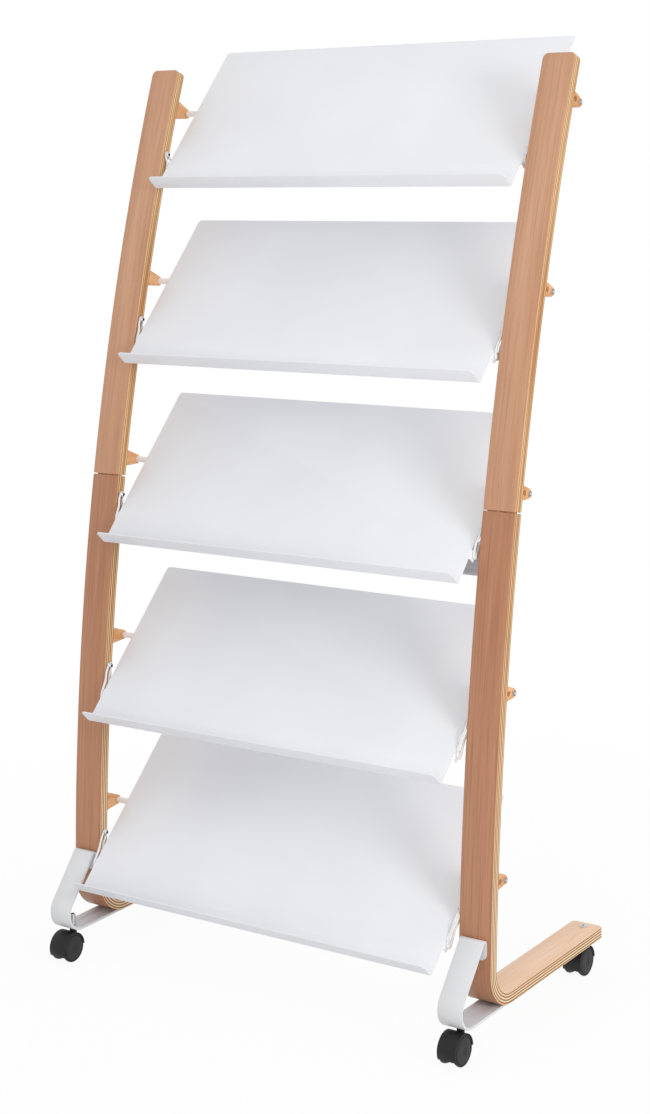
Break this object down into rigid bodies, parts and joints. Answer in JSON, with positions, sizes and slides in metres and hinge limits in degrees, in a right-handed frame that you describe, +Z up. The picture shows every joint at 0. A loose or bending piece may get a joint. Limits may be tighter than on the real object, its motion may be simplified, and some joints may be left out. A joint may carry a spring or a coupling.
{
  "type": "brochure display stand",
  "caption": "Tiered brochure stand: bent plywood uprights on casters carry sloping white steel shelves with front lips.",
  "frame": {"origin": "on the floor, under the middle of the stand's outer box", "axes": "+Z up, +X to the right seen from the front, the shelves face -Y and the stand leans back towards +Y"},
  "size_m": [0.82, 0.5054, 1.5105],
  "materials": {
    "plywood": "bent plywood with a warm brown face veneer, clear lacquer",
    "tongue_plywood": "raw hard plywood",
    "beech": "beech, clear lacquer",
    "white_steel": "white powder coat",
    "white_links": "white powder coat",
    "white_sheet": "cool white powder coat on sheet steel",
    "white_rod": "white powder coat",
    "zinc": "zinc plated",
    "stem_steel": "dark steel",
    "black_plastic": "moulded black nylon, fine grain",
    "wheel_plastic": "moulded black nylon wheel"
  },
  "bodies": {
    "frame": {"left_upright_lower": "plywood", "left_upright_upper": "plywood", "left_joint_tongue": "tongue_plywood", "left_front_strap": "white_steel", "left_shelf_links": "white_links", "left_ear_1": "beech", "left_ear_2": "beech", "left_ear_3": "beech", "left_ear_4": "beech", "left_ear_5": "beech", "right_upright_lower": "plywood", "right_upright_upper": "plywood", "right_joint_tongue": "tongue_plywood", "right_front_strap": "white_steel", "right_shelf_links": "white_links", "right_ear_1": "beech", "right_ear_2": "beech", "right_ear_3": "beech", "right_ear_4": "beech", "right_ear_5": "beech", "shelf_1": "white_sheet", "support_rod_1": "white_rod", "shelf_2": "white_sheet", "support_rod_2": "white_rod", "shelf_3": "white_sheet", "support_rod_3": "white_rod", "shelf_4": "white_sheet", "support_rod_4": "white_rod", "shelf_5": "white_sheet", "support_rod_5": "white_rod", "cross_brace": "white_steel", "link_bolts": "zinc", "link_spacers": "zinc", "link_rivets": "zinc", "rod_screws": "zinc", "ear_barrel_nuts": "zinc", "ear_studs": "zinc", "strap_screws": "zinc", "brace_screws": "zinc", "tongue_screws": "zinc", "stem_sleeves": "white_steel", "stem_nuts": "zinc", "front_left_caster_stem": "stem_steel", "front_right_caster_stem": "stem_steel", "rear_left_caster_stem": "stem_steel", "rear_right_caster_stem": "stem_steel"},
    "front_left_caster_swivel": {"front_left_caster_hood": "black_plastic"},
    "front_left_caster_wheel_left": {"front_left_caster_wheel_left": "wheel_plastic"},
    "front_left_caster_wheel_right": {"front_left_caster_wheel_right": "wheel_plastic"},
    "front_right_caster_swivel": {"front_right_caster_hood": "black_plastic"},
    "front_right_caster_wheel_left": {"front_right_caster_wheel_left": "wheel_plastic"},
    "front_right_caster_wheel_right": {"front_right_caster_wheel_right": "wheel_plastic"},
    "rear_left_caster_swivel": {"rear_left_caster_hood": "black_plastic"},
    "rear_left_caster_wheel_left": {"rear_left_caster_wheel_left": "wheel_plastic"},
    "rear_left_caster_wheel_right": {"rear_left_caster_wheel_right": "wheel_plastic"},
    "rear_right_caster_swivel": {"rear_right_caster_hood": "black_plastic"},
    "rear_right_caster_wheel_left": {"rear_right_caster_wheel_left": "wheel_plastic"},
    "rear_right_caster_wheel_right": {"rear_right_caster_wheel_right": "wheel_plastic"}
  },
  "joints": [
    {"name": "front_left_caster_swivel_turn", "type": "hinge", "parent": "frame", "child": "front_left_caster_swivel", "pos_m": [-0.382, -0.20977, 0.0243], "axis": [0, 0, 1], "continuous": true},
    {"name": "front_left_caster_wheel_left_roll", "type": "hinge", "parent": "front_left_caster_swivel", "child": "front_left_caster_wheel_left", "pos_m": [-0.382, -0.22667, 0.0243], "axis": [1, 0, 0], "continuous": true},
    {"name": "front_left_caster_wheel_right_roll", "type": "hinge", "parent": "front_left_caster_swivel", "child": "front_left_caster_wheel_right", "pos_m": [-0.382, -0.22667, 0.0243], "axis": [1, 0, 0], "continuous": true},
    {"name": "front_right_caster_swivel_turn", "type": "hinge", "parent": "frame", "child": "front_right_caster_swivel", "pos_m": [0.382, -0.20977, 0.0243], "axis": [0, 0, 1], "continuous": true},
    {"name": "front_right_caster_wheel_left_roll", "type": "hinge", "parent": "front_right_caster_swivel", "child": "front_right_caster_wheel_left", "pos_m": [0.382, -0.22667, 0.0243], "axis": [1, 0, 0], "continuous": true},
    {"name": "front_right_caster_wheel_right_roll", "type": "hinge", "parent": "front_right_caster_swivel", "child": "front_right_caster_wheel_right", "pos_m": [0.382, -0.22667, 0.0243], "axis": [1, 0, 0], "continuous": true},
    {"name": "rear_left_caster_swivel_turn", "type": "hinge", "parent": "frame", "child": "rear_left_caster_swivel", "pos_m": [-0.382, 0.17983, 0.0243], "axis": [0, 0, 1], "continuous": true},
    {"name": "rear_left_caster_wheel_left_roll", "type": "hinge", "parent": "rear_left_caster_swivel", "child": "rear_left_caster_wheel_left", "pos_m": [-0.382, 0.16293, 0.0243], "axis": [1, 0, 0], "continuous": true},
    {"name": "rear_left_caster_wheel_right_roll", "type": "hinge", "parent": "rear_left_caster_swivel", "child": "rear_left_caster_wheel_right", "pos_m": [-0.382, 0.16293, 0.0243], "axis": [1, 0, 0], "continuous": true},
    {"name": "rear_right_caster_swivel_turn", "type": "hinge", "parent": "frame", "child": "rear_right_caster_swivel", "pos_m": [0.382, 0.17983, 0.0243], "axis": [0, 0, 1], "continuous": true},
    {"name": "rear_right_caster_wheel_left_roll", "type": "hinge", "parent": "rear_right_caster_swivel", "child": "rear_right_caster_wheel_left", "pos_m": [0.382, 0.16293, 0.0243], "axis": [1, 0, 0], "continuous": true},
    {"name": "rear_right_caster_wheel_right_roll", "type": "hinge", "parent": "rear_right_caster_swivel", "child": "rear_right_caster_wheel_right", "pos_m": [0.382, 0.16293, 0.0243], "axis": [1, 0, 0], "continuous": true}
  ]
}
